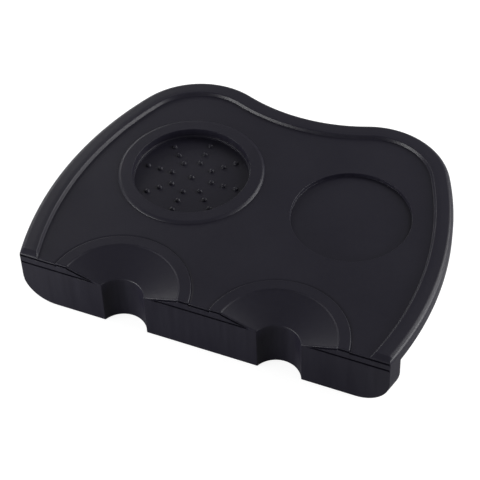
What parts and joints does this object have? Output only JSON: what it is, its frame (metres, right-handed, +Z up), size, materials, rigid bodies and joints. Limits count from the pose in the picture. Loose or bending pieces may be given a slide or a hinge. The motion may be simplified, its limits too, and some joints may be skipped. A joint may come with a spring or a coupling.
{
  "type": "corner tamper mat",
  "caption": "Black silicone bench-edge tamping mat with a rimmed tray, a studded tamper seat, a shallow recess, notched portafilter rests and a front lip.",
  "frame": {"origin": "on the underside of the plate, on the mirror line of the outline, where the back face of the lip meets it: the line of the bench's top edge", "axes": "+Z up out of the tray, +Y from the bench edge towards the two back lobes, +X to the right for someone who stands in front of the bench"},
  "size_m": [0.2038, 0.1476, 0.0335],
  "materials": {
    "silicone": "matte moulded silicone"
  },
  "bodies": {
    "root": {"mat": "silicone"}
  },
  "joints": []
}
